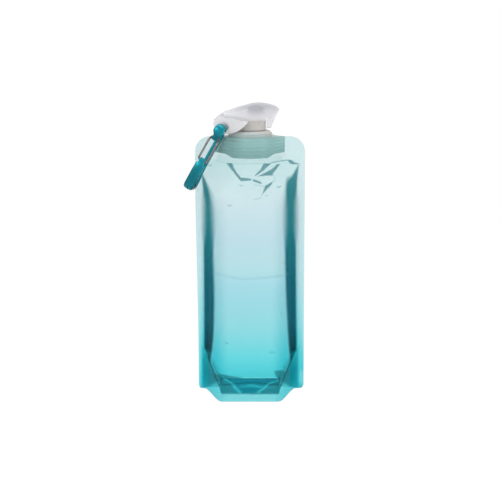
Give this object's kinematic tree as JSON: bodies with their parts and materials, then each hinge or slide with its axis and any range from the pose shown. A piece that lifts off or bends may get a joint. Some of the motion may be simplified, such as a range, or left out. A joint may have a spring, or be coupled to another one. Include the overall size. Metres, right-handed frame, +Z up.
{
  "type": "collapsible water bottle",
  "caption": "Soft film water bottle with a bottom gusset, a screw cap with drinking spout and hinged flip lid, and a wire-gate carabiner on the cap.",
  "frame": {"origin": "on the floor under the middle of the neck and of the pouch", "axes": "+Z up along the bottle; the front panel faces -Y; the cap's hinge and the carabiner are on the -X side"},
  "size_m": [0.1185, 0.0707, 0.2945],
  "materials": {
    "film": "clear teal laminated film",
    "neck": "translucent moulded polyethylene",
    "cap_plastic": "frosted translucent polypropylene",
    "silicone": "soft silicone",
    "carabiner_metal": "teal anodised",
    "gate_wire": "drawn steel wire"
  },
  "bodies": {
    "pouch": {"neck_fitment": "neck", "bottom_gusset": "film"},
    "front_film": {"front_panel": "film"},
    "back_film": {"back_panel": "film"},
    "cap_ring": {"cap_gasket": "silicone"},
    "cap": {"cap_base": "cap_plastic", "drinking_spout": "cap_plastic", "hinge_pin": "cap_plastic"},
    "lid": {"flip_lid": "cap_plastic", "lid_seal": "silicone"},
    "carabiner": {"carabiner_body": "carabiner_metal"},
    "gate": {"carabiner_gate": "gate_wire"}
  },
  "joints": [
    {"name": "front_flatten", "type": "slide", "parent": "pouch", "child": "front_film", "axis": [0, 1, 0], "range_m": [0, 0.027], "deforming": ["front_panel", "bottom_gusset"]},
    {"name": "back_flatten", "type": "slide", "parent": "pouch", "child": "back_film", "axis": [0, -1, 0], "range_m": [0, 0.027], "deforming": ["back_panel"]},
    {"name": "cap_lift_off", "type": "slide", "parent": "pouch", "child": "cap_ring", "axis": [0, 0, 1], "range_m": [0, 0.045]},
    {"name": "cap_turn", "type": "hinge", "parent": "cap_ring", "child": "cap", "pos_m": [0, 0, 0.2746], "axis": [0, 0, 1], "range_deg": [0, 120]},
    {"name": "lid_hinge", "type": "hinge", "parent": "cap", "child": "lid", "pos_m": [-0.0295, 0, 0.2773], "axis": [0, -1, 0], "range_deg": [0, 115]},
    {"name": "carabiner_swing", "type": "hinge", "parent": "cap", "child": "carabiner", "pos_m": [-0.025, -0.0113, 0.272], "axis": [0, 1, 0], "range_deg": [0, 75]},
    {"name": "gate_open", "type": "hinge", "parent": "carabiner", "child": "gate", "pos_m": [-0.0457, -0.03592, 0.24177], "axis": [-0.8571, 0.1737, 0.4849], "range_deg": [0, 25], "stiffness_Nm_per_rad": 0.08}
  ],
  "couplings": [
    {"joint": "back_flatten", "follows": "front_flatten", "ratio": 1}
  ]
}
